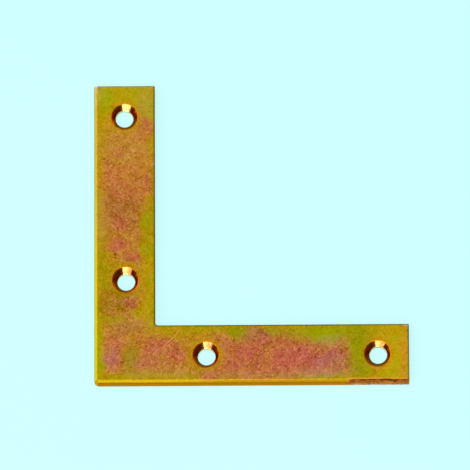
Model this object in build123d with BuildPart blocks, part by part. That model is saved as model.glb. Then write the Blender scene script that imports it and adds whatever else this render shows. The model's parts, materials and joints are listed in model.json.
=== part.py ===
from build123d import *
import os

# Flat corner brace, stamped from one piece of steel plate. Two equal arms meet at a
# right angle, and each arm has two countersunk screw holes. Millimetres, +Z up. The
# plate lies on its back face, and the origin is the point of that face where the
# centre lines of the arms cross. One arm runs along +X, the other along +Y.

# Blank
leg_length = 100.0  # outer corner to the end of an arm, the same for both arms
arm_width = 19.5
plate_thickness = 3.0
outer_corner_radius = 1.4  # plan radius of the outside corner
notch_corner_radius = 0.9  # plan radius of the inside corner

# Rolled front edges, left by the stamping
outer_roll = 1.2  # along the two outside edges
notch_roll = 0.45  # along the two inside edges
end_roll = 0.3  # across the ends of the arms
pick_margin = 0.1  # how near an edge lies to the line that it is chosen by

# Screw holes
end_margin = 10.1  # end of an arm to the centre of its outer hole
hole_pitch = 54.5  # between the two holes of an arm
shank_diameter = 5.6
sink_diameter = 8.6  # where the cone would meet the flat front face
sink_angle = 90.0
sink_lip_radius = 0.3

# Torn stretch on the outside edge of the X arm, next to its end
tear_length = 20.0
tear_lead = 2.5  # over which the tear runs out to nothing
tear_width = 0.95
tear_ledge = 1.3  # height of the torn ledge above the back face

# Places worked out from the sizes above
outer_side = -arm_width / 2
notch_side = arm_width / 2
arm_end = leg_length - arm_width / 2
outer_hole = arm_end - end_margin
inner_hole = outer_hole - hole_pitch
hole_places = [(inner_hole, 0), (outer_hole, 0), (0, inner_hole), (0, outer_hole)]


def on_outside(edge):
    """True for a front edge along the outside of the L, its corner arc included."""
    middle = edge.center()
    return min(middle.X, middle.Y) < outer_side + outer_corner_radius


def on_notch(edge):
    """True for a front edge along the inside of the L, its corner arc included."""
    middle = edge.center()
    return min(middle.X, middle.Y) > notch_side - pick_margin


def on_end(edge):
    """True for a front edge across the end of an arm."""
    middle = edge.center()
    return max(middle.X, middle.Y) > arm_end - pick_margin and min(middle.X, middle.Y) < notch_side


def on_sink_rim(edge):
    """True for the circle where a countersink meets the front face."""
    return edge.geom_type == GeomType.CIRCLE and abs(edge.radius - sink_diameter / 2) < pick_margin


with BuildPart() as brace_plate:
    # The L-shaped blank
    with BuildSketch(Plane.XY) as blank:
        with BuildLine():
            Polyline(
                (outer_side, outer_side),
                (arm_end, outer_side),
                (arm_end, notch_side),
                (notch_side, notch_side),
                (notch_side, arm_end),
                (outer_side, arm_end),
                close=True,
            )
        make_face()
        diagonal = Axis((0, 0, 0), (1, 1, 0))
        corners = blank.vertices().filter_by(lambda corner: abs(corner.X - corner.Y) < pick_margin)
        fillet(corners.sort_by(diagonal)[0], outer_corner_radius)
        fillet(corners.sort_by(diagonal)[-1], notch_corner_radius)
    extrude(amount=plate_thickness)

    # The rolled edges round the front face
    for place_of, roll in ((on_outside, outer_roll), (on_notch, notch_roll), (on_end, end_roll)):
        front = brace_plate.faces().filter_by(Axis.Z).sort_by(Axis.Z)[-1]
        fillet(front.edges().filter_by(place_of), roll)

    # The countersunk screw holes, sunk from the front
    with Locations(Plane.XY.offset(plate_thickness)):
        with Locations(*hole_places):
            CounterSinkHole(
                radius=shank_diameter / 2,
                counter_sink_radius=sink_diameter / 2,
                counter_sink_angle=sink_angle,
                depth=2 * plate_thickness,
            )
    fillet(brace_plate.edges().filter_by(on_sink_rim), sink_lip_radius)

    # The torn ledge
    with BuildSketch(Plane.XY.offset(tear_ledge)):
        with BuildLine():
            Polyline(
                (arm_end - tear_length, outer_side),
                (arm_end - tear_length + tear_lead, outer_side + tear_width),
                (arm_end, outer_side + tear_width),
                (arm_end, outer_side),
                close=True,
            )
        make_face()
    extrude(amount=plate_thickness, mode=Mode.SUBTRACT)

brace_plate.part.label = "brace_plate"
os.makedirs("parts", exist_ok=True)
export_step(brace_plate.part, "parts/brace_plate.step")
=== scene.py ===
import json
from math import cos, pi, radians, sin, tan

import bmesh
import bpy
from mathutils import Matrix, Vector


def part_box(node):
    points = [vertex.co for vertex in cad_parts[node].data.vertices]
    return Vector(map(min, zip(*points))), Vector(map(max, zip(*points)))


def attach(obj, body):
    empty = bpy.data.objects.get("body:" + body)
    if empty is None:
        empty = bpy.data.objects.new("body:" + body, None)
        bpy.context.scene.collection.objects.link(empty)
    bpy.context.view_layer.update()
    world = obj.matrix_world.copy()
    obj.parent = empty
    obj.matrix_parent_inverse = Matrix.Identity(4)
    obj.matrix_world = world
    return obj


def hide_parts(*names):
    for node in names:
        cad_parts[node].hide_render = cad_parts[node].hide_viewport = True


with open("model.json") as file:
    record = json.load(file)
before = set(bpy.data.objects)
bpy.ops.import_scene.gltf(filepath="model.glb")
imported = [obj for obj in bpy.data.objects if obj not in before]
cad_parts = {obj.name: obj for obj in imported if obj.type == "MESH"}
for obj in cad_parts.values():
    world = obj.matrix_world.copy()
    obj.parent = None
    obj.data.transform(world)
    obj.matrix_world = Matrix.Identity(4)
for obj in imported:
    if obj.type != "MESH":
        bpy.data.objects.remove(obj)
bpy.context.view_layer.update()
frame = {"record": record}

bl_info = {
    "name": "Flat corner brace",
    "version": (1, 0, 0),
    "blender": (4, 5, 0),
    "location": "3D View > Sidebar > Corner brace",
    "description": "Models a stamped corner brace on its packed frame and plates it",
    "category": "Object",
}

MM = 0.001
NEAR = 0.01 * MM  # two places closer than this are the same place

# Sizes from the frame
NODE = "brace_plate"
PLATE_LOW, PLATE_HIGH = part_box(NODE)
THICKNESS = PLATE_HIGH.z
ARM_END = PLATE_HIGH.x
ARM_HALF = -PLATE_LOW.x  # half the width of an arm, whose centre line is an axis
BORES = [mount for mount in frame["record"]["mounts"] if mount["kind"] == "bore"]
BORE_RADIUS = BORES[0]["dims"]["r_mm"] * MM
SINK_FLOOR = BORES[0]["dims"]["length_mm"] * MM  # height at which the cone begins

# How far the rim of each countersink and its bore stand from their place in the frame, in mm.
# The real ones weren't punched quite true.
HOLE_DRIFT = {
    "hole_x_inner": ((0.1, -0.25), (0.37, -0.52)),
    "hole_x_outer": ((0.03, -0.22), (0.32, -0.22)),
    "hole_y_inner": ((0.25, -0.72), (0.56, -1.07)),
    "hole_y_outer": ((0.1, -0.37), (0.03, -0.66)),
}
RIMS = [Vector(hole["pos_m"]).xy + Vector(HOLE_DRIFT[hole["name"]][0]) * MM for hole in BORES]
SHANKS = [Vector(hole["pos_m"]).xy + Vector(HOLE_DRIFT[hole["name"]][1]) * MM for hole in BORES]

# The photograph, and where the camera stood for it
PHOTO_WIDTH = 470
PHOTO_TILT = radians(18.63)  # from straight above, towards -Y
PHOTO_SWING = radians(0.31)  # towards +X
PHOTO_ROLL = radians(-0.25)
PHOTO_SCALE = 3140.0  # pixels for a metre on the plate
AIM_POINT = Vector((40.25, 40.25, 0)) * MM
AIM_PIXEL = (251.05, 236.4)
CAMERA_DISTANCE = 4.0
SENSOR = 36.0

# The stage
FLOOR_SIZE = 8
FLOOR_DROP = 0.01 * MM  # below the back face
FLOOR_GLOW_SHARE = 0.85  # how much of the floor's look is its own colour, without shadow
ROOM_LIGHT = 0.3
LAMP_DISTANCE = 0.9

# Softboxes: tilt off the vertical, compass side, width and height as the plate sees them,
# and radiance. Tilt, width and height are in degrees.
SOFTBOXES = {
    "overhead_softbox": (23, (-0.5, 1), 64, 60, 0.755),
    "front_softbox": (33, (-0.25, -1), 60, 52, 2.0),
    "left_softbox": (68, (-1, 0.36), 60, 36, 1.9),
    "low_front_strip": (71, (-0.29, -1), 58, 4.6, 11.5),
}

# How far noise shifts the borders of the zones and the scratches, in mm
ZONE_DRIFT = 5.5
SCRATCH_DRIFT = 1.6

# Soft borders: where the share is 0 and where it is full, in parts of the half size
ZONE_BORDER = (1.55, 0.25)
MARK_BORDER = (1.3, 0.5)  # of pits and scratches


def srgb(red, green, blue):
    """A colour as a screen shows it, 0 to 255, in the linear values that a shader takes."""
    return tuple(
        (part / 12.92 if part <= 0.04045 else ((part + 0.055) / 1.055) ** 2.4)
        for part in (red / 255, green / 255, blue / 255)
    )


# Order of the film colours. The chromate film turns from green over gold to mauve as it
# gets thicker, and a place on the plate is given by how far along this order it is.
FILM_ORDER = {
    "film_green": -0.02,
    "film_olive": 0.07,
    "film_gold": 0.15,
    "film_amber": 0.23,
    "film_copper": 0.33,
    "film_rose": 0.43,
    "film_mauve": 0.54,
    "film_plum": 0.64,
}

# Film zones on the front face: centre and half size in mm, and the place in the film order.
# Large zones come first, because each one is laid over those before it.
FILM_ZONES = {
    "middle of the upright": ((0.0, 56.5), (9.0, 23.0), 0.355),
    "top of the middle": ((0.0, 69.0), (7.0, 5.0), 0.28),
    "upper end": ((-1.0, 86.5), (11.5, 8.0), 0.09),
    "right strip high": ((7.8, 64.5), (2.0, 4.0), 0.27),
    "right strip of the upright": ((7.7, 42.0), (2.3, 13.0), 0.12),
    "right strip below": ((8.0, 21.0), (2.3, 14.0), 0.13),
    "left strip of the upright": ((-8.5, 70.5), (2.0, 14.0), 0.17),
    "left strip high": ((-8.0, 68.0), (1.8, 3.5), 0.22),
    "left strip in the middle": ((-8.5, 51.5), (2.0, 4.5), 0.14),
    "left strip under it": ((-8.0, 38.0), (2.4, 4.0), 0.2),
    "left strip below": ((-7.0, 29.5), (3.2, 7.0), 0.12),
    "below the lower hole": ((-3.0, 18.5), (4.5, 2.5), 0.25),
    "top of the corner": ((1.0, 10.5), (5.0, 2.5), 0.28),
    "corner field": ((8.0, 1.0), (5.5, 5.0), 0.40),
    "mauve of the corner": ((-3.0, 1.5), (4.0, 6.5), 0.44),
    "long field of the arm": ((49.5, -1.0), (23.0, 8.5), 0.47),
    "beside the inner hole": ((33.5, -1.5), (3.5, 6.0), 0.42),
    "end of the arm": ((83.0, 1.0), (8.5, 11.5), 0.14),
    "green left of the upper hole": ((-5.5, 85.0), (2.8, 5.0), 0.0),
    "green above the upper hole": ((1.0, 88.0), (5.0, 2.2), 0.06),
    "right of the upper hole": ((7.0, 82.5), (2.2, 6.0), 0.12),
    "rose below the upper hole": ((5.0, 78.0), (2.4, 2.4), 0.38),
    "rose at the right edge": ((7.5, 76.0), (2.0, 3.0), 0.42),
    "rose high in the upright": ((-2.0, 67.5), (2.2, 1.8), 0.38),
    "rose at the right": ((7.5, 57.0), (1.8, 3.0), 0.43),
    "rose at the centre": ((-2.0, 55.5), (2.8, 2.8), 0.38),
    "rose beside it": ((2.5, 53.0), (2.8, 2.8), 0.38),
    "rose low in the upright": ((-1.5, 43.5), (2.8, 2.2), 0.42),
    "rose band above the hole": ((-2.0, 36.5), (3.6, 2.3), 0.47),
    "rose right above the hole": ((2.5, 32.5), (3.4, 1.8), 0.44),
    "green at the right edge": ((7.0, 44.5), (1.8, 2.8), 0.05),
    "green lower at the right edge": ((7.0, 35.5), (1.8, 2.8), 0.05),
    "green at the left edge": ((-6.0, 24.5), (2.3, 2.8), 0.07),
    "red spot": ((1.7, 17.0), (2.3, 2.2), 0.47),
    "gold left of the corner": ((-4.0, 11.5), (3.2, 1.6), 0.12),
    "gold right of the corner": ((5.0, 13.5), (2.3, 2.2), 0.12),
    "green strip of the corner": ((-8.6, 0.5), (1.4, 10.0), 0.06),
    "green foot of the corner": ((-7.5, -5.0), (1.8, 3.0), 0.03),
    "mauve tip of the corner": ((-4.0, -1.5), (2.2, 2.8), 0.53),
    "olive wedge": ((1.5, -1.5), (2.5, 5.0), 0.17),
    "first rose of the corner": ((7.0, -3.0), (2.8, 1.8), 0.42),
    "second rose of the corner": ((9.5, 2.5), (3.2, 2.2), 0.46),
    "third rose of the corner": ((13.0, 3.5), (2.8, 2.2), 0.46),
    "rose left of the inner hole": ((16.5, -0.5), (3.0, 3.8), 0.43),
    "band above the lower edge": ((5.0, -7.7), (15.0, 1.6), 0.15),
    "gold beside the notch": ((17.0, 7.7), (8.0, 1.7), 0.18),
    "rose bump": ((42.0, 6.5), (2.8, 2.3), 0.36),
    "tip of the long field": ((68.5, -4.0), (4.2, 2.2), 0.40),
    "mauve beside the hole": ((38.5, 1.0), (2.8, 2.8), 0.52),
    "mauve under the bump": ((44.0, 5.0), (2.8, 1.8), 0.50),
    "orange spot": ((45.5, 0.5), (1.6, 2.8), 0.36),
    "mauve of the middle": ((49.5, -1.5), (2.3, 2.3), 0.52),
    "mauve right of the middle": ((56.0, -0.5), (3.3, 2.8), 0.56),
    "mauve below the middle": ((51.0, -4.0), (3.3, 1.7), 0.54),
    "mauve at the foot": ((35.0, -4.0), (2.3, 1.8), 0.48),
    "mauve near the tip": ((61.5, -2.5), (3.6, 3.0), 0.57),
    "mauve at the tip": ((66.5, -0.5), (2.6, 2.6), 0.55),
    "red below the inner hole": ((27.0, -7.0), (2.8, 1.6), 0.42),
    "olive above the outer hole": ((86.0, 4.5), (2.8, 1.8), 0.10),
    "olive below the outer hole": ((86.5, -3.5), (2.8, 2.8), 0.10),
    "olive at the lower edge": ((83.0, -6.5), (5.0, 1.7), 0.11),
    "amber end": ((88.6, 1.0), (1.6, 10.0), 0.25),
}

# Green bloom over the film, laid in the same way: the share of green
GREEN_BLOOM = {
    "arm edge beside the notch": ((27.0, 8.0), (8.0, 1.5), 0.3),
    "green spot of the arm": ((36.0, 7.2), (3.0, 2.3), 0.8),
    "gold dip": ((47.0, 7.9), (2.6, 1.8), 0.5),
    "upper edge of the arm": ((64.0, 7.4), (14.0, 2.8), 0.9),
    "greenest of the edge": ((64.0, 6.2), (5.0, 2.6), 1.0),
    "across the arm": ((74.2, 1.0), (3.2, 9.0), 0.9),
    "foot of it": ((75.5, -5.0), (3.4, 2.8), 0.8),
    "band under the mauve": ((63.0, -8.0), (10.0, 1.1), 0.5),
}

# How light the plating is, laid in the same way: 1 is its plain level.
LIGHT_ZONES = {
    "upper half of the upright": ((0.0, 74.0), (14.0, 22.0), 1.08),
    "upper end": ((0.0, 88.0), (12.0, 5.0), 1.15),
    "brown of the upright": ((1.0, 48.5), (7.0, 4.5), 0.84),
    "right strip of the upright": ((7.5, 41.0), (2.6, 8.0), 0.93),
    "right strip below": ((8.2, 24.0), (2.4, 9.0), 1.06),
    "left of the lower hole": ((-7.0, 28.0), (3.0, 8.0), 0.94),
    "below the lower hole": ((-3.0, 17.0), (6.5, 5.0), 0.78),
    "right of the corner's top": ((5.0, 13.5), (2.6, 2.6), 1.08),
    "brown above the corner": ((1.0, 9.5), (5.0, 2.6), 0.9),
    "mauve tip of the corner": ((-4.0, -1.5), (3.0, 3.6), 0.9),
    "olive wedge": ((2.0, -1.5), (3.0, 5.0), 0.8),
    "rose bump": ((41.0, 7.0), (8.0, 3.5), 0.86),
    "tip of the mauve": ((65.0, -2.0), (6.0, 5.0), 0.88),
    "green across the arm": ((75.0, 0.0), (4.0, 10.0), 0.92),
    "end of the arm": ((86.0, 0.0), (7.0, 14.0), 1.24),
}

# Milky veils over the film, laid in the same way: the share of the veil's own grey
VEILS = {
    "right of the upper hole": ((7.0, 84.0), (3.0, 7.0), 0.05),
    "top of the upright's middle": ((0.0, 69.0), (8.0, 6.0), 0.035),
    "left strip": ((-8.0, 46.0), (2.6, 9.0), 0.045),
    "brown above the corner": ((2.0, 10.0), (7.0, 3.0), 0.04),
    "mauve tip of the corner": ((-4.5, -1.0), (2.6, 4.0), 0.1),
    "olive wedge": ((1.5, -1.5), (2.5, 5.0), 0.03),
    "field of the corner": ((8.0, -2.5), (6.0, 3.0), 0.05),
    "band above the lower edge": ((10.0, -6.4), (10.0, 1.5), 0.06),
    "band along the arm": ((42.0, -7.0), (22.0, 1.4), 0.06),
    "rose bump": ((42.0, 6.5), (4.0, 2.6), 0.05),
    "under the green edge": ((65.0, 3.8), (6.0, 2.0), 0.08),
    "tip of the mauve": ((66.0, -2.0), (4.5, 3.0), 0.1),
    "below the tip": ((63.0, -6.2), (8.0, 1.8), 0.14),
    "upper left corner": ((-8.0, 88.0), (2.0, 3.0), 0.05),
    "rim of the upper end": ((0.0, 90.4), (11.0, 0.8), 0.12),
}

# Dark pits: centre and radius in mm
PITS = {
    "pit in the mauve of the corner": ((-2.4, 2.65), 0.45),
    "pit at the left strip": ((-6.5, 65.6), 0.5),
    "pit at the left roll": ((-9.1, 62.9), 0.45),
    "pit beside the inner hole": ((18.2, -4.6), 0.3),
    "pit above the band": ((52.4, 7.9), 0.3),
}

# Pale scratches: from, to and half width in mm
SCRATCHES = {
    "long scratch": ((12.3, 2.0), (17.0, 7.7), 0.14),
    "its neighbour": ((12.9, 1.4), (16.2, 5.4), 0.1),
    "short scratch": ((9.0, -0.6), (10.6, 1.6), 0.1),
    "faint scratch": ((15.6, -7.2), (18.2, -3.4), 0.1),
    "scratch across it": ((16.0, -3.8), (18.4, -6.6), 0.1),
    "scratch of the upright": ((-4.6, 44.0), (1.2, 38.6), 0.1),
    "scratch below the hole": ((-0.6, 13.8), (2.8, 10.4), 0.08),
}

# Worn spots where the zinc shows, and a painted highlight on the left roll in the same pale
# colour: centre and half size in mm, and how strongly the pale colour shows
WORN_SPOTS_AND_GLINT = {
    "upper left corner": ((-9.4, 89.4), (0.9, 1.0), 0.6),
    # Painted highlight on the left roll, in the pale zinc colour
    "left roll below it": ((-9.6, 86.0), (0.5, 3.6), 0.5),
    "corner at the end of the arm": ((89.4, 9.4), (1.1, 0.6), 0.5),
    "speck right of the lower hole": ((2.6, 18.9), (1.8, 0.5), 0.14),
}


class BraceShape(bpy.types.PropertyGroup):
    """Sizes that the frame doesn't carry"""

    outer_corner: bpy.props.FloatProperty(
        name="Outside corner",
        description="Radius of the outside corner, seen from above",
        default=1.6 * MM,
        unit="LENGTH",
    )
    notch_corner: bpy.props.FloatProperty(
        name="Inside corner",
        description="Radius of the inside corner, seen from above",
        default=0.9 * MM,
        unit="LENGTH",
    )
    outer_roll: bpy.props.FloatProperty(
        name="Outside roll",
        description="Radius of the front edge along the two outside edges",
        default=1.5 * MM,
        unit="LENGTH",
    )
    notch_roll: bpy.props.FloatProperty(
        name="Inside roll",
        description="Radius of the front edge along the two inside edges",
        default=0.45 * MM,
        unit="LENGTH",
    )
    end_roll: bpy.props.FloatProperty(
        name="End roll",
        description="Radius of the edges at the ends of the arms",
        default=0.3 * MM,
        unit="LENGTH",
    )
    back_edge: bpy.props.FloatProperty(
        name="Back edge",
        description="Width of the dulled edge round the back face",
        default=0.06 * MM,
        unit="LENGTH",
    )
    sink_radius: bpy.props.FloatProperty(
        name="Countersink",
        description="Radius of the countersink where its cone meets the front face",
        default=4.2 * MM,
        unit="LENGTH",
    )
    hole_stretch: bpy.props.FloatProperty(
        name="Hole stretch",
        description="How much longer the punched holes are along Y than along X",
        default=1.04,
    )
    sink_lip: bpy.props.FloatProperty(
        name="Countersink lip",
        description="Width of the softened rim of a countersink",
        default=0.14 * MM,
        unit="LENGTH",
    )
    edge_waves: bpy.props.FloatProperty(
        name="Edge waves",
        description="How far the stamped edges wander inwards",
        default=0.04 * MM,
        unit="LENGTH",
    )
    fracture_depth: bpy.props.FloatProperty(
        name="Fracture",
        description="Roughness of the broken lower half of the cut edges",
        default=0.08 * MM,
        unit="LENGTH",
    )
    tear_start: bpy.props.FloatProperty(
        name="Tear start",
        description="Where the torn stretch of the lower edge begins, along the arm",
        default=70.1 * MM,
        unit="LENGTH",
    )
    tear_width: bpy.props.FloatProperty(
        name="Tear width",
        description="How far the tear reaches into the front face",
        default=0.95 * MM,
        unit="LENGTH",
    )
    tear_ledge: bpy.props.FloatProperty(
        name="Tear ledge",
        description="Height of the torn ledge above the back face",
        default=1.6 * MM,
        unit="LENGTH",
    )


class BraceFinish(bpy.types.PropertyGroup):
    """Colours of the plating and of the stage"""

    film_green: bpy.props.FloatVectorProperty(
        name="Thinnest film",
        description="Green of the thinnest chromate film",
        default=srgb(150, 150, 2),
        subtype="COLOR",
    )
    film_olive: bpy.props.FloatVectorProperty(
        name="Thin film",
        description="Olive gold between green and gold",
        default=srgb(159, 144, 5),
        subtype="COLOR",
    )
    film_gold: bpy.props.FloatVectorProperty(
        name="Gold film",
        description="Gold of a medium film",
        default=srgb(169, 138, 5),
        subtype="COLOR",
    )
    film_amber: bpy.props.FloatVectorProperty(
        name="Amber film",
        description="Amber between gold and copper",
        default=srgb(174, 127, 14),
        subtype="COLOR",
    )
    film_copper: bpy.props.FloatVectorProperty(
        name="Copper film",
        description="Orange brown of a thicker film",
        default=srgb(175, 112, 38),
        subtype="COLOR",
    )
    film_rose: bpy.props.FloatVectorProperty(
        name="Rose film",
        description="Rose of a thick film",
        default=srgb(178, 99, 52),
        subtype="COLOR",
    )
    film_mauve: bpy.props.FloatVectorProperty(
        name="Mauve film",
        description="Mauve of a very thick film",
        default=srgb(181, 88, 70),
        subtype="COLOR",
    )
    film_plum: bpy.props.FloatVectorProperty(
        name="Plum film",
        description="Greyish plum where the film is thickest",
        default=srgb(172, 98, 88),
        subtype="COLOR",
    )
    # Painted highlights: the rolled edges and the left cut edge are painted brighter, standing
    # in for the light of the front and left lamps
    roll_highlight_yellow: bpy.props.FloatVectorProperty(
        name="Rolled edge",
        description="Bright yellow of the lower rolled edge, near the corner",
        default=srgb(174, 148, 16),
        subtype="COLOR",
    )
    roll_highlight_gold: bpy.props.FloatVectorProperty(
        name="Rolled edge further on",
        description="Orange gold of the lower rolled edge, along the arm",
        default=srgb(144, 104, 8),
        subtype="COLOR",
    )
    left_roll_highlight_yellow: bpy.props.FloatVectorProperty(
        name="Left rolled edge",
        description="Lemon yellow of the left rolled edge, low down",
        default=srgb(196, 180, 24),
        subtype="COLOR",
    )
    left_roll_highlight_pale: bpy.props.FloatVectorProperty(
        name="Left rolled edge highlight, high up",
        description="Pale tan of the left rolled edge, high up",
        default=srgb(180, 156, 72),
        subtype="COLOR",
    )
    left_side_highlight: bpy.props.FloatVectorProperty(
        name="Left cut edge",
        description="Pale yellow where the left rolled edge turns into the cut side",
        default=srgb(236, 214, 110),
        subtype="COLOR",
    )
    # Painted shade: the foot of the lower roll and the cut sides are painted darker, as they
    # turn from the light
    roll_foot_shade: bpy.props.FloatVectorProperty(
        name="Foot of the rolled edge",
        description="Brown where the lower rolled edge turns into the cut side",
        default=srgb(158, 112, 6),
        subtype="COLOR",
    )
    wall_shade_brown: bpy.props.FloatVectorProperty(
        name="Cut edge",
        description="Orange brown of the cut sides",
        default=srgb(214, 124, 12),
        subtype="COLOR",
    )
    sink_orange: bpy.props.FloatVectorProperty(
        name="Countersink",
        description="Orange film inside the countersinks, near the rim",
        default=srgb(180, 84, 4),
        subtype="COLOR",
    )
    # Painted shade: the cones are painted darker towards the bottom of the recess
    sink_deep_shade: bpy.props.FloatVectorProperty(
        name="Countersink, deep",
        description="Darker maroon deep in the countersinks, a painted shade",
        default=srgb(112, 50, 14),
        subtype="COLOR",
    )
    # Painted highlight: the far wall of each countersink is painted paler, where the low front
    # lamp is mirrored
    sink_painted_highlight: bpy.props.FloatVectorProperty(
        name="Countersink highlight",
        description="Paler colour on the far wall, a painted highlight",
        default=srgb(214, 118, 52),
        subtype="COLOR",
    )
    # Painted reflection: the bores are painted pale, as the pale floor would show in them
    bore_painted_reflection: bpy.props.FloatVectorProperty(
        name="Bore",
        description="Pale colour of the bores, a painted reflection of the floor",
        default=srgb(240, 222, 160),
        subtype="COLOR",
    )
    rim_orange: bpy.props.FloatVectorProperty(
        name="Countersink rim",
        description="Orange ring round the countersinks",
        default=srgb(190, 112, 6),
        subtype="COLOR",
    )
    torn_steel: bpy.props.FloatVectorProperty(
        name="Torn steel",
        description="Orange tan of the torn stretch",
        default=srgb(204, 136, 58),
        subtype="COLOR",
    )
    # Painted highlight along the lip of the tear
    torn_lip_highlight: bpy.props.FloatVectorProperty(
        name="Torn lip",
        description="Light orange of the front face along the tear",
        default=srgb(214, 144, 44),
        subtype="COLOR",
    )
    edge_glint: bpy.props.FloatVectorProperty(
        name="Glint at a low angle",
        description="Colour that the plating takes where it is seen at a low angle",
        default=(1.0, 0.8, 0.45),
        subtype="COLOR",
    )
    fibre_tan: bpy.props.FloatVectorProperty(
        name="Fibres and scratches",
        description="Light tan of the curly fibres and of the scratches",
        default=srgb(238, 190, 104),
        subtype="COLOR",
    )
    # Dark brown of the pits and chips, also used as painted shade under the tear's lip and along
    # the notch and the ends
    crack_and_shade_brown: bpy.props.FloatVectorProperty(
        name="Crack",
        description="Dark brown deep in the tear and in the pits",
        default=srgb(66, 30, 4),
        subtype="COLOR",
    )
    # Pale grey of the worn spots, also used as a painted highlight on the left roll
    bare_zinc_and_glint: bpy.props.FloatVectorProperty(
        name="Bare zinc",
        description="Pale grey where the film has worn off",
        default=srgb(196, 182, 160),
        subtype="COLOR",
    )
    veil_grey: bpy.props.FloatVectorProperty(
        name="Milky veil",
        description="Pale greyish veil that dulls the film in places",
        default=srgb(196, 178, 158),
        subtype="COLOR",
    )
    backdrop: bpy.props.FloatVectorProperty(
        name="Backdrop",
        description="Pale blue of the floor",
        default=srgb(206, 254, 254),
        subtype="COLOR",
    )


def add_block(name, low, high):
    """Adds a box between two corners, with its place in its mesh."""
    bpy.ops.object.select_all(action="DESELECT")
    bpy.ops.mesh.primitive_cube_add(size=1, location=(Vector(low) + Vector(high)) / 2)
    block = bpy.context.object
    block.name = block.data.name = name
    block.scale = Vector(high) - Vector(low)
    bpy.ops.object.transform_apply(location=True, rotation=True, scale=True)
    return block


def pick_edges(piece, wanted):
    """In edit mode, selects just the edges whose two ends pass the test."""
    bpy.ops.mesh.select_mode(type="EDGE")
    bpy.ops.mesh.select_all(action="DESELECT")
    edit_mesh = bmesh.from_edit_mesh(piece.data)
    for edge in edit_mesh.edges:
        if wanted(edge.verts[0].co, edge.verts[1].co):
            edge.select_set(True)
    bmesh.update_edit_mesh(piece.data)


def pick_faces(piece, wanted):
    """In edit mode, selects just the faces whose centre and normal pass the test."""
    bpy.ops.mesh.select_mode(type="FACE")
    bpy.ops.mesh.select_all(action="DESELECT")
    edit_mesh = bmesh.from_edit_mesh(piece.data)
    for face in edit_mesh.faces:
        if wanted(face.calc_center_median(), face.normal):
            face.select_set(True)
    bmesh.update_edit_mesh(piece.data)


def round_edges(piece, wanted, radius, segments):
    """Bevels the edges that pass the test to a round of this radius."""
    pick_edges(piece, wanted)
    bpy.ops.mesh.bevel(
        offset=radius, segments=segments, profile=0.5, affect="EDGES", clamp_overlap=False
    )


def same(a, b):
    return abs(a - b) < NEAR


def both(test):
    """A test of an edge that asks the same of its two ends."""
    return lambda a, b: test(a) and test(b)


def along(axis, longer_than, shorter_than=1.0):
    """A test that passes edges that run along an axis and are within a range of lengths."""

    def test(a, b):
        run = b - a
        reach = abs(run[axis])
        return longer_than < reach < shorter_than and run.length - reach < NEAR

    return test


def block_out_plate(shape):
    """The L of the plate, with both corners rounded in plan and all front edges rolled."""
    plate = add_block("plated_brace", (-ARM_HALF, -ARM_HALF, 0), (ARM_END, ARM_HALF, THICKNESS))
    bpy.ops.object.mode_set(mode="EDIT")
    bpy.ops.mesh.select_all(action="SELECT")
    bpy.ops.mesh.bisect(plane_co=(ARM_HALF, 0, 0), plane_no=(1, 0, 0))
    pick_faces(plate, lambda centre, normal: normal.y > 0.9 and centre.x < ARM_HALF)
    reach = (0, ARM_END - ARM_HALF, 0)
    bpy.ops.mesh.extrude_region_move(TRANSFORM_OT_translate={"value": reach})
    bpy.ops.mesh.select_all(action="SELECT")
    bpy.ops.mesh.dissolve_limited(angle_limit=radians(1))

    def at(x, y):
        return both(lambda end: same(end.x, x) and same(end.y, y))

    round_edges(plate, at(-ARM_HALF, -ARM_HALF), shape.outer_corner, segments=8)
    round_edges(plate, at(ARM_HALF, ARM_HALF), shape.notch_corner, segments=8)

    def on_front(end):
        return same(end.z, THICKNESS)

    outside = shape.outer_corner - ARM_HALF + NEAR

    def on_outside(end):
        return on_front(end) and (end.x < outside or end.y < outside)

    def on_notch(end):
        return on_front(end) and min(end.x, end.y) > ARM_HALF - NEAR

    def on_end(a, b):
        level = same(a.z, 0) and same(b.z, 0)
        at_x_end = same(a.x, ARM_END) and same(b.x, ARM_END)
        at_y_end = same(a.y, ARM_END) and same(b.y, ARM_END)
        return (at_x_end or at_y_end) and not level

    round_edges(plate, both(on_outside), shape.outer_roll, segments=8)
    round_edges(plate, both(on_notch), shape.notch_roll, segments=6)
    round_edges(plate, on_end, shape.end_roll, segments=4)
    round_edges(plate, both(lambda end: same(end.z, 0)), shape.back_edge, segments=2)
    bpy.ops.object.mode_set(mode="OBJECT")
    return plate


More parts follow.
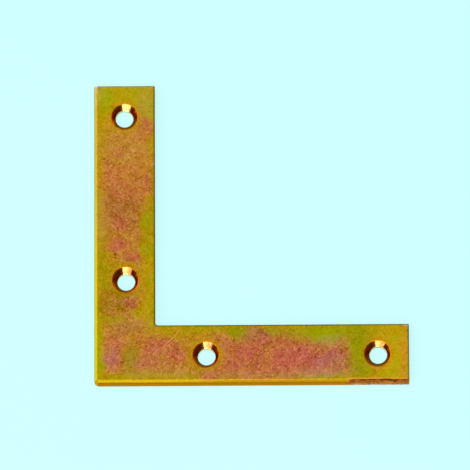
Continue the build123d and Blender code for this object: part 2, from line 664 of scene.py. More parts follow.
def slice_edges(plate, shape):
    """Divides the edge strips, so that they can be uneven."""
    cell = 7.9 * MM
    slice_length = 0.5 * MM
    cuts_up_the_side = 6
    length_range = (0.7, 1.1)  # how long an edge is, in parts of the run that it belongs to
    first = ARM_HALF + shape.notch_corner + shape.notch_roll + slice_length
    cells = round((ARM_END - first) / cell)

    def cut_cells(wanted):
        for number in range(cells):
            place = first + number * (ARM_END - first) / cells
            for normal in ((1, 0, 0), (0, 1, 0)):
                pick_faces(plate, wanted)
                bpy.ops.mesh.bisect(plane_co=[place * part for part in normal], plane_no=normal)

    bpy.ops.object.mode_set(mode="EDIT")
    cut_cells(lambda centre, normal: True)
    corner_run = first + ARM_HALF - shape.outer_corner
    side_band = 1.2 * shape.outer_roll
    for axis in (0, 1):
        across = 1 - axis

        def on_side(a, b):
            return abs(a[across]) > ARM_HALF - side_band and a[axis] > -ARM_HALF

        for run in (cell, corner_run):
            fits = along(axis, *(part * run for part in length_range))
            pick_edges(plate, lambda a, b: fits(a, b) and on_side(a, b))
            bpy.ops.mesh.subdivide(number_cuts=round(run / slice_length) - 1)
    pick_edges(plate, along(2, THICKNESS / 2))
    bpy.ops.mesh.subdivide(number_cuts=cuts_up_the_side)

    # The flat faces need just the cells, so that no thin slice touches the rim of a hole
    def is_flat(centre, normal):
        return abs(normal.z) > 0.9999

    pick_faces(plate, is_flat)
    bpy.ops.mesh.dissolve_limited(angle_limit=radians(0.1))
    cut_cells(is_flat)
    bpy.ops.object.mode_set(mode="OBJECT")


def boolean_cut(piece, cutter):
    """Takes the cutter's volume out of the piece and deletes the cutter."""
    bpy.ops.object.select_all(action="DESELECT")
    bpy.context.view_layer.objects.active = piece
    piece.select_set(True)
    cut = piece.modifiers.new("cut", "BOOLEAN")
    cut.operation = "DIFFERENCE"
    cut.solver = "EXACT"
    cut.object = cutter
    bpy.ops.object.modifier_apply(modifier=cut.name)
    bpy.data.meshes.remove(cutter.data)


def roughen(piece, name, size, depth, weights, level_shift=0.0, direction="NORMAL"):
    """Pushes a weighted part of the surface inwards by up to depth, in clouds of this size.

    With a level_shift of -0.5 it is pushed as far one way as the other."""
    bpy.ops.object.select_all(action="DESELECT")
    bpy.context.view_layer.objects.active = piece
    piece.select_set(True)
    clouds = bpy.data.textures.new(name, "CLOUDS")
    clouds.noise_scale = size
    clouds.noise_depth = 3
    push = piece.modifiers.new(name, "DISPLACE")
    push.texture = clouds
    push.texture_coords = "LOCAL"
    push.direction = direction
    push.mid_level = 1.0 + level_shift
    push.strength = depth
    push.vertex_group = weights
    bpy.ops.object.modifier_apply(modifier=push.name)


def weigh_edges(plate):
    """Vertex groups for the whole cut edge and for the broken lower half of it."""
    whole = plate.vertex_groups.new(name="cut_edge")
    broken = plate.vertex_groups.new(name="broken_half")
    for corner in plate.data.vertices:
        height = corner.co.z
        if NEAR < height < THICKNESS - NEAR:
            whole.add([corner.index], 1.0, "REPLACE")
        if 2 * NEAR < height < THICKNESS / 2:
            broken.add([corner.index], 1.0, "REPLACE")


def join_cutters(cutters):
    """Joins the cutters of the four holes into one."""
    bpy.ops.object.select_all(action="DESELECT")
    for cutter in cutters:
        cutter.select_set(True)
    bpy.context.view_layer.objects.active = cutters[0]
    bpy.ops.object.join()
    return cutters[0]


def shank_cutter(shape):
    """A round bar through the plate at each hole."""
    overshoot = 0.5 * MM
    bars = []
    for shank in SHANKS:
        bpy.ops.object.select_all(action="DESELECT")
        bpy.ops.mesh.primitive_cylinder_add(
            vertices=72,
            radius=BORE_RADIUS,
            depth=THICKNESS + 2 * overshoot,
            location=(*shank, THICKNESS / 2),
        )
        bars.append(bpy.context.object)
        bars[-1].scale.y = shape.hole_stretch
        bpy.ops.object.transform_apply(location=True, rotation=True, scale=True)
    return join_cutters(bars)


def sink_cutter(shape):
    """The cone of a countersink bit at each hole. Its tip stays inside the shank's bar."""
    overshoot = 0.5 * MM
    slope = (shape.sink_radius - BORE_RADIUS) / (THICKNESS - SINK_FLOOR)
    tip_inset = 0.4 * MM
    tip_radius = BORE_RADIUS - tip_inset
    tip_height = THICKNESS - (shape.sink_radius - tip_radius) / slope
    height = THICKNESS + overshoot - tip_height
    cones = []
    for rim in RIMS:
        bpy.ops.object.select_all(action="DESELECT")
        bpy.ops.mesh.primitive_cone_add(
            vertices=72,
            radius1=tip_radius,
            radius2=tip_radius + slope * height,
            depth=height,
            location=(*rim, tip_height + height / 2),
        )
        cones.append(bpy.context.object)
        cones[-1].scale.y = shape.hole_stretch
        bpy.ops.object.transform_apply(location=True, rotation=True, scale=True)
    return join_cutters(cones)


def drill(plate, shape):
    """Cuts the four holes and softens their rims."""
    tolerance = 5 * NEAR
    boolean_cut(plate, sink_cutter(shape))
    boolean_cut(plate, shank_cutter(shape))

    def on_circle(height, radius, centres):
        def test(end):
            if not same(end.z, height):
                return False
            offsets = [end.xy - centre for centre in centres]
            away = min(Vector((x, y / shape.hole_stretch)).length for x, y in offsets)
            return abs(away - radius) < tolerance

        return both(test)

    bpy.ops.object.mode_set(mode="EDIT")
    rims = on_circle(THICKNESS, shape.sink_radius, RIMS)
    round_edges(plate, rims, shape.sink_lip, segments=4)
    round_edges(plate, on_circle(0, BORE_RADIUS, SHANKS), shape.back_edge, segments=2)
    bpy.ops.object.mode_set(mode="OBJECT")


def weigh_tear(cutter, shape, inner_side):
    """Vertex groups for the rough part of the tear and for its lip, which sways."""
    smooth_start = 0.7 * MM
    above_plate = 0.5 * MM
    lip_width, below_ledge = 0.3 * MM, 0.2 * MM
    uneven = cutter.vertex_groups.new(name="uneven")
    swaying = cutter.vertex_groups.new(name="swaying")
    for corner in cutter.data.vertices:
        x, y, z = corner.co
        past_start = x > shape.tear_start + smooth_start
        if past_start and z < THICKNESS + above_plate:
            uneven.add([corner.index], 1.0, "REPLACE")
        on_lip = y > inner_side - lip_width and z > shape.tear_ledge - below_ledge
        if past_start and on_lip:
            swaying.add([corner.index], 1.0, "REPLACE")


def tear_cutter(shape):
    """The steel that broke away along the lower edge, as a rough bar with a step in it."""
    overshoot = 1 * MM
    skin = 0.1 * MM  # how deep the tear bites below its ledge
    both_ways = -0.5  # pushes as far one way as the other
    undercut = Vector((0, 0.15, -0.1)) * MM
    lead = 3.2 * MM  # over which the tear gets its full width
    lip_gap = 0.02 * MM  # how far outside the plate the lip starts
    skin_gap = 0.1 * MM  # and how far the wall under the ledge does
    cutter = add_block(
        "tear_cutter",
        (shape.tear_start, -ARM_HALF - overshoot, -overshoot),
        (ARM_END + overshoot, -ARM_HALF + skin, THICKNESS + overshoot),
    )
    bpy.ops.object.mode_set(mode="EDIT")
    bpy.ops.mesh.select_all(action="SELECT")
    bpy.ops.mesh.bisect(plane_co=(0, 0, shape.tear_ledge), plane_no=(0, 0, 1))
    pick_faces(cutter, lambda centre, normal: normal.y > 0.9 and centre.z > shape.tear_ledge)
    step_in = (0, shape.tear_width - skin, 0)
    bpy.ops.mesh.extrude_region_move(TRANSFORM_OT_translate={"value": step_in})
    inner_side = shape.tear_width - ARM_HALF
    inner_foot = both(lambda end: same(end.y, inner_side) and same(end.z, shape.tear_ledge))
    pick_edges(cutter, inner_foot)
    bpy.ops.transform.translate(value=undercut)
    bpy.ops.mesh.select_all(action="SELECT")
    bpy.ops.mesh.bisect(plane_co=(shape.tear_start + lead, 0, 0), plane_no=(1, 0, 0))

    def at_start(wanted):
        return both(lambda end: same(end.x, shape.tear_start) and wanted(end))

    # The tear begins outside the plate, so that it runs in without a step
    pick_edges(cutter, at_start(lambda end: end.y > inner_side - NEAR))
    bpy.ops.transform.translate(value=(0, -lip_gap - shape.tear_width, 0))
    pick_edges(cutter, at_start(lambda end: same(end.y, skin - ARM_HALF)))
    bpy.ops.transform.translate(value=(0, -skin_gap - skin, 0))

    def runs_along(a, b):
        return abs(a.x - b.x) > 0.3 * MM

    def runs_up(a, b):
        return abs(a.z - b.z) > 1 * MM

    def runs_across(a, b):
        return abs(a.y - b.y) > 0.4 * MM and same(a.x, b.x)

    # Many small faces, so that it can be rough: twice along the arm, then up, then across
    for wanted, cuts in ((runs_along, 10), (runs_along, 11), (runs_up, 12), (runs_across, 5)):
        pick_edges(cutter, wanted)
        bpy.ops.mesh.subdivide(number_cuts=cuts)
    bpy.ops.mesh.select_all(action="SELECT")
    bpy.ops.mesh.quads_convert_to_tris(ngon_method="BEAUTY")
    bpy.ops.object.mode_set(mode="OBJECT")
    weigh_tear(cutter, shape, inner_side)
    for name, size, depth, weights, direction in (
        ("torn_sway", 2.8 * MM, 2.0 * MM, "swaying", "Y"),
        ("torn_lumps", 1.4 * MM, 0.18 * MM, "uneven", "NORMAL"),
        ("torn_grain", 0.4 * MM, 0.12 * MM, "uneven", "NORMAL"),
    ):
        roughen(cutter, name, size, depth, weights, both_ways, direction)
    return cutter


def close_flaps():
    """Merges the corners of hair-thin flaps, which a cut can leave along its edges.

    It acts on the active object, which boolean_cut leaves as the piece that it cut."""
    same_corner = 0.004 * MM
    flap_widths = (0.02 * MM, 0.06 * MM, 0.15 * MM)
    shortest_edge = 0.001 * MM
    bpy.ops.object.mode_set(mode="EDIT")
    bpy.ops.mesh.select_mode(type="VERT")
    bpy.ops.mesh.select_all(action="SELECT")
    bpy.ops.mesh.remove_doubles(threshold=same_corner)
    for reach in flap_widths:
        bpy.ops.mesh.select_all(action="DESELECT")
        bpy.ops.mesh.select_non_manifold(extend=False)
        bpy.ops.mesh.remove_doubles(threshold=reach)
    bpy.ops.mesh.select_all(action="SELECT")
    bpy.ops.mesh.dissolve_degenerate(threshold=shortest_edge)
    bpy.ops.object.mode_set(mode="OBJECT")


def model_plate(shape):
    """The finished mesh of the plate."""
    wave_size, fracture_size = 6 * MM, 0.5 * MM
    smooth_below = radians(38)
    plate = block_out_plate(shape)
    slice_edges(plate, shape)
    weigh_edges(plate)
    roughen(plate, "edge_waves", wave_size, shape.edge_waves, "cut_edge")
    roughen(plate, "broken_edge", fracture_size, shape.fracture_depth, "broken_half")
    drill(plate, shape)
    boolean_cut(plate, tear_cutter(shape))
    close_flaps()
    plate.vertex_groups.clear()
    bpy.ops.object.shade_smooth_by_angle(angle=smooth_below)
    even = plate.modifiers.new("flat faces", "WEIGHTED_NORMAL")
    even.keep_sharp = True
    bpy.ops.object.modifier_apply(modifier=even.name)
    return plate


class Wiring:
    """Adds nodes to a tree and links them, so that one call is one step of a formula."""

    def __init__(self, tree):
        self.tree = tree

    def node(self, kind, **settings):
        made = self.tree.nodes.new(kind)
        for name, value in settings.items():
            setattr(made, name, value)
        return made

    def feed(self, socket, value):
        """Links an output to a socket, or sets the socket to a plain value."""
        if isinstance(value, bpy.types.NodeSocket):
            self.tree.links.new(value, socket)
        else:
            socket.default_value = value

    def math(self, operation, *values, clamp=False):
        made = self.node("ShaderNodeMath", operation=operation, use_clamp=clamp)
        for socket, value in zip(made.inputs, values):
            self.feed(socket, value)
        return made.outputs[0]

    def vector(self, operation, *values, output=0, scale=None):
        made = self.node("ShaderNodeVectorMath", operation=operation)
        for socket, value in zip(made.inputs, values):
            self.feed(socket, value)
        if scale is not None:
            self.feed(made.inputs["Scale"], scale)
        return made.outputs[output]

    def fade(self, value, start, end, at_start=0.0, at_end=1.0):
        """Eases from one value to another while the input goes from start to end."""
        made = self.node("ShaderNodeMapRange", interpolation_type="SMOOTHSTEP")
        for socket, number in zip(made.inputs, (value, start, end, at_start, at_end)):
            self.feed(socket, number)
        return made.outputs[0]

    def blend(self, share, first, second):
        made = self.node("ShaderNodeMix", data_type="FLOAT")
        for name, value in (("Factor", share), ("A", first), ("B", second)):
            self.feed(next(s for s in made.inputs if s.name == name and s.enabled), value)
        return made.outputs[0]

    def tint(self, share, first, second, how="MIX"):
        made = self.node("ShaderNodeMix", data_type="RGBA", blend_type=how)
        for name, value in (("Factor", share), ("A", first), ("B", second)):
            socket = next(s for s in made.inputs if s.name == name and s.enabled)
            plain = not isinstance(value, (bpy.types.NodeSocket, float, int))
            self.feed(socket, (*value[:3], 1) if plain else value)
        return next(s for s in made.outputs if s.enabled)

    def noise(self, place, size, detail=2.0, roughness=0.5, distortion=0.0, output=0):
        """Noise around 0.5 with lumps of this size, in the units of the place."""
        made = self.node("ShaderNodeTexNoise")
        self.feed(made.inputs["Vector"], place)
        made.inputs["Scale"].default_value = 1 / size
        made.inputs["Detail"].default_value = detail
        made.inputs["Roughness"].default_value = roughness
        made.inputs["Distortion"].default_value = distortion
        return made.outputs[output]


def film_zone_group():
    """Node group that draws the film towards one place in its order, inside a soft oval."""
    group = bpy.data.node_groups.new("film zone", "ShaderNodeTree")
    for name, kind in (
        ("Film", "NodeSocketFloat"),
        ("Place", "NodeSocketVector"),
        ("Centre", "NodeSocketVector"),
        ("Half size", "NodeSocketVector"),
        ("Aim", "NodeSocketFloat"),
    ):
        group.interface.new_socket(name=name, in_out="INPUT", socket_type=kind)
    group.interface.new_socket(name="Film", in_out="OUTPUT", socket_type="NodeSocketFloat")
    wiring = Wiring(group)
    given = wiring.node("NodeGroupInput").outputs
    offset = wiring.vector("SUBTRACT", given["Place"], given["Centre"])
    scaled = wiring.vector("DIVIDE", offset, given["Half size"])
    away = wiring.vector("LENGTH", scaled, output=1)
    share = wiring.fade(away, *ZONE_BORDER)
    film = wiring.blend(share, given["Film"], given["Aim"])
    wiring.feed(wiring.node("NodeGroupOutput").inputs[0], film)
    return group


def lay_zones(wiring, flat_place, zones, ground):
    """Lays named zones one over another on a ground value."""
    group = bpy.data.node_groups.get("film zone") or film_zone_group()
    film = ground
    for centre, half_size, aim in zones.values():
        zone = wiring.node("ShaderNodeGroup", node_tree=group)
        wiring.feed(zone.inputs["Film"], film)
        wiring.feed(zone.inputs["Place"], flat_place)
        zone.inputs["Centre"].default_value = (*centre, 0)
        zone.inputs["Half size"].default_value = (*half_size, 1)
        zone.inputs["Aim"].default_value = aim
        film = zone.outputs["Film"]
    return film


def scratch_group():
    """Node group that is 1 along a straight scratch and 0 away from it."""
    group = bpy.data.node_groups.new("scratch", "ShaderNodeTree")
    for name, kind in (
        ("Place", "NodeSocketVector"),
        ("Start", "NodeSocketVector"),
        ("Run", "NodeSocketVector"),
        ("Half width", "NodeSocketFloat"),
    ):
        group.interface.new_socket(name=name, in_out="INPUT", socket_type=kind)
    group.interface.new_socket(name="Share", in_out="OUTPUT", socket_type="NodeSocketFloat")
    wiring = Wiring(group)
    given = wiring.node("NodeGroupInput").outputs
    offset = wiring.vector("SUBTRACT", given["Place"], given["Start"])
    reach = wiring.vector("DOT_PRODUCT", offset, given["Run"], output=1)
    square = wiring.vector("DOT_PRODUCT", given["Run"], given["Run"], output=1)
    part = wiring.math("DIVIDE", reach, square, clamp=True)
    nearest = wiring.vector("SCALE", given["Run"], scale=part)
    away = wiring.vector("DISTANCE", offset, nearest, output=1)
    away = wiring.math("DIVIDE", away, given["Half width"])
    share = wiring.fade(away, *MARK_BORDER)
    wiring.feed(wiring.node("NodeGroupOutput").inputs[0], share)
    return group


def lay_scratches(wiring, flat_place):
    """Where the scratches are, 0 to 1."""
    group = scratch_group()
    all_shares = None
    for start, end, half_width in SCRATCHES.values():
        scratch = wiring.node("ShaderNodeGroup", node_tree=group)
        wiring.feed(scratch.inputs["Place"], flat_place)
        scratch.inputs["Start"].default_value = (*start, 0)
        scratch.inputs["Run"].default_value = (end[0] - start[0], end[1] - start[1], 0)
        scratch.inputs["Half width"].default_value = half_width
        share = scratch.outputs["Share"]
        all_shares = share if all_shares is None else wiring.math("MAXIMUM", all_shares, share)
    return all_shares


def lay_pits(wiring, flat_place):
    """Where the pits are, 0 to 1."""
    all_shares = None
    for (x, y), radius in PITS.values():
        away = wiring.vector("DISTANCE", flat_place, (x, y, 0), output=1)
        share = wiring.fade(away, *(part * radius for part in MARK_BORDER))
        all_shares = share if all_shares is None else wiring.math("MAXIMUM", all_shares, share)
    return all_shares


def outline_distance(wiring, x, y):
    """How far inside the outline of the L a place is, in mm."""
    half, end = ARM_HALF / MM, ARM_END / MM

    def inside_arm(lengthwise, crosswise):
        from_corner = wiring.math("ADD", lengthwise, half)
        from_end = wiring.math("SUBTRACT", end, lengthwise)
        from_side = wiring.math("SUBTRACT", half, wiring.math("ABSOLUTE", crosswise))
        nearer = wiring.math("MINIMUM", from_corner, from_end)
        return wiring.math("MINIMUM", nearer, from_side)

    return wiring.math("MAXIMUM", inside_arm(x, y), inside_arm(y, x))


def hole_distance(wiring, flat_place, centres, shape):
    """Distance from the nearest of these hole centres, in mm, less along Y by the stretch."""
    nearest = None
    for centre in centres:
        offset = wiring.vector("SUBTRACT", flat_place, (centre.x / MM, centre.y / MM, 0))
        rounded = wiring.vector("MULTIPLY", offset, (1, 1 / shape.hole_stretch, 1))
        away = wiring.vector("LENGTH", rounded, output=1)
        nearest = away if nearest is None else wiring.math("MINIMUM", nearest, away)
    return nearest


def film_colour(wiring, finish, film):
    """Colour of the film from its place in the film order."""
    ramp = wiring.node("ShaderNodeValToRGB")
    low, high = min(FILM_ORDER.values()), max(FILM_ORDER.values())
    stops = ramp.color_ramp.elements
    while len(stops) < len(FILM_ORDER):
        stops.new(0.5)
    for stop, (name, order) in zip(stops, FILM_ORDER.items()):
        stop.position = (order - low) / (high - low)
        stop.color = (*getattr(finish, name), 1)
    above = wiring.math("SUBTRACT", film, low)
    wiring.feed(ramp.inputs[0], wiring.math("DIVIDE", above, high - low))
    return ramp.outputs[0]


class PlateSurface:
    """What the layers of the finish share: where a point is, in mm, and the zinc's own noise."""

    def __init__(self, wiring, shape):
        half = ARM_HALF / MM
        roll = (1.3 - half, 0.7 - half)  # along X on the left, along Y below
        front_height = (2.0, 2.8)
        sink_border = (0.05, -0.2)  # from the rim outwards
        coordinates = wiring.node("ShaderNodeTexCoord").outputs["Object"]
        self.place = wiring.vector("MULTIPLY", coordinates, (1 / MM, 1 / MM, 1 / MM))
        parts = wiring.node("ShaderNodeSeparateXYZ")
        wiring.feed(parts.inputs[0], self.place)
        self.x, self.y, self.z = parts.outputs
        self.flat = wiring.vector("MULTIPLY", self.place, (1, 1, 0))
        self.from_edge = outline_distance(wiring, self.x, self.y)
        to_rim = hole_distance(wiring, self.flat, RIMS, shape)
        self.from_rim = wiring.math("SUBTRACT", to_rim, shape.sink_radius / MM)
        self.on_front = wiring.fade(self.z, *front_height)
        self.on_left = wiring.fade(self.x, *roll)
        self.on_roll = wiring.math("MAXIMUM", self.on_left, wiring.fade(self.y, *roll))
        self.in_sink = wiring.fade(self.from_rim, *sink_border)
        self.grain = wiring.noise(self.place, size=0.55, detail=2, roughness=0.6, distortion=1.0)
        self.speckle = wiring.noise(
            self.place, size=1.15, detail=2, roughness=0.55, distortion=1.6
        )
        self.cloud = wiring.noise(self.place, size=2.8, detail=2)
        drift = wiring.noise(self.place, size=4, detail=5, roughness=0.6, output=1)
        self.drift = wiring.vector("SUBTRACT", drift, (0.5, 0.5, 0.5))
        self.wandering = self.drifted(wiring, ZONE_DRIFT)

    def drifted(self, wiring, reach):
        """The place from above, shifted by slow noise, so that borders and lines wander."""
        shift = wiring.vector("MULTIPLY", self.drift, (reach, reach, 0))
        return wiring.vector("ADD", self.flat, shift)


def film_thickness(wiring, at):
    """Where a point is in the film order: zones on the front, clouds on the back."""
    edge_reach = (0.8, 4.5)  # mm in from the outline
    edge_film, inner_film = 0.12, 0.27
    ring_reach = (2.5, 0.6)  # mm out from a rim
    ring_film, ring_strength = 0.17, 0.75
    back_reach = (0.3, 1.0)  # mm above the back
    back_cloud_size, back_contrast = 14, (0.3, 0.7)
    back_thin, back_thick = 0.02, 0.5
    waves = ((9, 0.12), (2.2, 0.17), (1.2, 0.04))  # size in mm, and depth
    ground = wiring.fade(at.from_edge, *edge_reach, edge_film, inner_film)
    film = lay_zones(wiring, at.wandering, FILM_ZONES, ground)
    ring = wiring.math("MULTIPLY", wiring.fade(at.from_rim, *ring_reach), ring_strength)
    film = wiring.blend(ring, film, ring_film)
    back_clouds = wiring.noise(at.place, back_cloud_size, detail=3)
    back_film = wiring.fade(back_clouds, *back_contrast, back_thin, back_thick)
    film = wiring.blend(wiring.fade(at.z, *back_reach), back_film, film)
    for size, depth in waves:
        wave = wiring.math("SUBTRACT", wiring.noise(at.place, size, detail=1), 0.5)
        film = wiring.math("MULTIPLY_ADD", wave, depth, film)
    return film


def milkiness(wiring, film, bloom):
    """How milky the film is: little where it is thin, and not at all in the green bloom."""
    thin, thick = 0.1, 0.35
    least = 0.2
    milky = wiring.fade(film, thin, thick, least, 1.0)
    return wiring.math("MULTIPLY", milky, wiring.math("SUBTRACT", 1.0, bloom))


def dark_pits(wiring, at):
    """The named pits, and small dark dots all over."""
    pit_strength, dot_strength = 0.5, 0.3
    dot_spacing, dot_border = 2.1, (0.27, 0.2)
    dots = wiring.noise(at.place, dot_spacing, detail=1)
    dots = wiring.fade(dots, *dot_border, 0.0, dot_strength)
    pits = wiring.math("MULTIPLY", lay_pits(wiring, at.flat), at.on_front)
    return wiring.math("MAXIMUM", wiring.math("MULTIPLY", pits, pit_strength), dots)


def rim_rings(wiring, finish, at, colour):
    """An orange ring round each countersink."""
    ring_reach, strength = (1.1, 0.2), 0.42
    share = wiring.math("MULTIPLY", wiring.fade(at.from_rim, *ring_reach), strength)
    return wiring.tint(share, colour, finish.rim_orange)


def zinc_flecks(wiring, finish, at, colour, milky):
    """Light and dark flecks of the matt zinc under the film."""
    depths = ((at.grain, 0.25), (at.speckle, 1.8), (at.cloud, 0.4))
    lightness, shine_strength = 0.5, 0.26
    fleck = 0.0
    for pattern, depth in depths:
        wave = wiring.math("SUBTRACT", pattern, 0.5)
        fleck = wiring.math("MULTIPLY_ADD", wave, depth, fleck)
    level = lay_zones(wiring, at.wandering, LIGHT_ZONES, 1.0)
    light = wiring.math("MULTIPLY_ADD", fleck, lightness, level)
    colour = wiring.tint(1.0, colour, light, "MULTIPLY")
    shine = wiring.math("MULTIPLY", wiring.math("MULTIPLY", fleck, milky), shine_strength)
    zinc_shine = wiring.vector("SCALE", finish.fibre_tan, scale=shine)
    return wiring.vector("MAXIMUM", wiring.vector("ADD", colour, zinc_shine), (0, 0, 0))


def milky_veils(wiring, finish, at, colour, milky):
    """The named veils, and faint ones all over."""
    cloud_contrast, cloud_strength = (0.45, 0.68), 0.045
    veil = wiring.math("MULTIPLY", lay_zones(wiring, at.wandering, VEILS, 0.0), at.on_front)
    cloudy = wiring.fade(at.cloud, *cloud_contrast, 0.0, cloud_strength)
    veil = wiring.math("MULTIPLY_ADD", cloudy, milky, veil)
    return wiring.tint(veil, colour, finish.veil_grey)


def fibres_and_scratches(wiring, finish, at, colour, milky, scratch):
    """Pale curly fibres, which follow the middle level of a noise, and pale scratches."""
    curl_size, half_width = 1.5, 0.05
    grain_contrast = (0.42, 0.56)
    fibre_strength, scratch_strength = 0.3, 0.4
    curl = wiring.noise(at.place, curl_size, detail=1, distortion=2.0)
    off_centre = wiring.math("ABSOLUTE", wiring.math("SUBTRACT", curl, 0.5))
    line = wiring.fade(off_centre, half_width, 0.0)
    fibre = wiring.math("MULTIPLY", line, wiring.fade(at.grain, *grain_contrast))
    fibre = wiring.math("MULTIPLY", wiring.math("MULTIPLY", fibre, milky), fibre_strength)
    pale = wiring.math("MAXIMUM", fibre, wiring.math("MULTIPLY", scratch, scratch_strength))
    return wiring.tint(pale, colour, finish.fibre_tan)


def rolled_edges(wiring, finish, at, colour):
    """Painted highlights on the rolls: yellow to gold on the lower roll, lemon on the left one,
    paler towards its upper end. Painted shade at the foot of the lower roll and on the cut
    sides.
    """
    half = ARM_HALF / MM
    left_run, low_run = (20, 70), (16, 34)  # mm along the edge
    roll_strength = 0.75
    foot_reach, foot_height = (0.9, 0.5), (2.85, 2.5)
    foot_run = (0.7 - half, 1.6 - half)
    wall_reach, wall_height = (0.6, 0.2), (2.3, 1.9)
    left_side_reach, left_side_strength = (0.55, 0.2), 0.7

    # Painted highlight on the left roll and on the lower roll
    left_fade = wiring.fade(at.y, *left_run)
    left_colour = wiring.tint(left_fade, finish.left_roll_highlight_yellow, finish.left_roll_highlight_pale)
    low_colour = wiring.tint(wiring.fade(at.x, *low_run), finish.roll_highlight_yellow, finish.roll_highlight_gold)
    roll_colour = wiring.tint(at.on_left, low_colour, left_colour)
    roll_share = wiring.math("MULTIPLY", at.on_roll, roll_strength)
    colour = wiring.tint(roll_share, colour, roll_colour)

    # Painted shade at the foot of the lower roll
    foot = wiring.fade(at.from_edge, *foot_reach)
    foot = wiring.math("MULTIPLY", foot, wiring.fade(at.z, *foot_height))
    foot = wiring.math("MULTIPLY", foot, wiring.fade(at.x, *foot_run))
    colour = wiring.tint(foot, colour, finish.roll_foot_shade)

    # Painted shade on the cut sides
    on_wall = wiring.fade(at.from_edge, *wall_reach)
    on_wall = wiring.math("MULTIPLY", on_wall, wiring.fade(at.z, *wall_height))
    colour = wiring.tint(on_wall, colour, finish.wall_shade_brown)

    # Painted highlight where the left roll turns into the cut side
    left_side = wiring.fade(at.from_edge, *left_side_reach)
    left_side = wiring.math("MULTIPLY", at.on_left, left_side)
    left_share = wiring.math("MULTIPLY", left_side, left_side_strength)
    return wiring.tint(left_share, colour, finish.left_side_highlight)


def painted_edge_shade(wiring, finish, at, colour):
    """Painted shade along the edges of the notch and of the ends, but not along the upper end.
    """
    edge_reach, strength = (0.85, 0.3), 0.36
    upper_end = (89, 89.8)
    share = wiring.math("SUBTRACT", 1.0, at.on_roll)
    share = wiring.math("MULTIPLY", share, wiring.fade(at.from_edge, *edge_reach))
    share = wiring.math("MULTIPLY", share, wiring.fade(at.y, *upper_end, strength, 0.0))
    return wiring.tint(share, colour, finish.crack_and_shade_brown)


def countersinks(wiring, finish, at, shape, colour):
    """Orange cones with a painted highlight on the far wall and painted shade deep down, over
    bores painted pale as a reflection of the floor. Gives their sheen as well.
    """
    bore = BORE_RADIUS / MM
    bore_border, bore_height = (bore + 0.12, bore + 0.03), (1.6, 1.5)
    cone_height = (2.2, 3.0)  # maroon below, orange above
    # Centre of the painted highlight on each far wall
    far_wall = Vector((0.4, 3.1)) * MM  # from the middle of the rim
    highlight_reach = (1.9, 1.3)
    sheen_reach, least_sheen, most_sheen = (2.4, 1.5), 0.1, 0.45

    # Painted shade: the cone is darker towards its bottom
    cone_colour = wiring.tint(
        wiring.fade(at.z, *cone_height), finish.sink_deep_shade, finish.sink_orange
    )
    to_shank = hole_distance(wiring, at.flat, SHANKS, shape)
    in_bore = wiring.fade(to_shank, *bore_border)
    in_bore = wiring.math("MULTIPLY", in_bore, wiring.fade(at.z, *bore_height))
    to_far_wall = hole_distance(wiring, at.flat, [rim + far_wall for rim in RIMS], shape)
    # Painted highlight: the far wall is painted paler
    pale = wiring.fade(to_far_wall, *highlight_reach)
    cone_colour = wiring.tint(pale, cone_colour, finish.sink_painted_highlight)
    # Painted reflection: the bores are painted pale
    sink_colour = wiring.tint(in_bore, cone_colour, finish.bore_painted_reflection)
    sheen = wiring.fade(to_far_wall, *sheen_reach, least_sheen, most_sheen)
    sheen = wiring.math("MULTIPLY", at.in_sink, sheen)
    sheen = wiring.blend(in_bore, sheen, 0.0)
    return wiring.tint(at.in_sink, colour, sink_colour), sheen


def worn_spots_and_glint(wiring, finish, at, colour):
    """Spots where the film has worn off, and a painted highlight on the left roll, more so on
    the high specks.
    """
    speck_contrast, least = (0.35, 0.55), 0.4
    worn = lay_zones(wiring, at.flat, WORN_SPOTS_AND_GLINT, 0.0)
    specks = wiring.fade(at.speckle, *speck_contrast, least, 1.0)
    return wiring.tint(wiring.math("MULTIPLY", worn, specks), colour, finish.bare_zinc_and_glint)


def torn_stretch(wiring, finish, at, shape, colour):
    """A painted highlight on the lip, painted shade on the step under it, and a tan ledge with
    chips. Gives their share too.
    """
    start = shape.tear_start / MM
    lip = (shape.tear_width - ARM_HALF) / MM
    ledge = shape.tear_ledge / MM
    lead = (start, start + 1.2)
    lip_reach, lip_strength = (lip + 0.9, lip + 0.4), 0.7
    tear_reach, below_front = (lip + 1.0, lip + 0.8), (2.97, 2.88)
    chip_size = 0.9
    light_chips, light_strength = (0.5, 0.7), 0.5
    dark_chips, dark_strength = (0.48, 0.36), 0.45
    step_run, step_strength = (start + 0.6, start + 2.6), (0.3, 0.85)
    step_height = (ledge + 0.3, ledge + 0.6)

    along_tear = wiring.fade(at.x, *lead)
    # Painted highlight on the lip
    lip_share = wiring.math("MULTIPLY", along_tear, wiring.fade(at.y, *lip_reach))
    lip_share = wiring.math("MULTIPLY", lip_share, lip_strength)
    colour = wiring.tint(lip_share, colour, finish.torn_lip_highlight)

    in_tear = wiring.math("MULTIPLY", along_tear, wiring.fade(at.y, *tear_reach))
    in_tear = wiring.math("MULTIPLY", in_tear, wiring.fade(at.z, *below_front))
    chips = wiring.noise(at.place, chip_size, detail=3, roughness=0.7)
    light = wiring.fade(chips, *light_chips, 0.0, light_strength)
    torn_colour = wiring.tint(light, finish.torn_steel, finish.fibre_tan)
    dark = wiring.fade(chips, *dark_chips, 0.0, dark_strength)
    torn_colour = wiring.tint(dark, torn_colour, finish.crack_and_shade_brown)
    # Painted shade on the step under the lip
    step = wiring.fade(at.x, *step_run, *step_strength)
    step = wiring.math("MULTIPLY", step, wiring.fade(at.z, *step_height))
    torn_colour = wiring.tint(step, torn_colour, finish.crack_and_shade_brown)
    return wiring.tint(in_tear, colour, torn_colour), in_tear


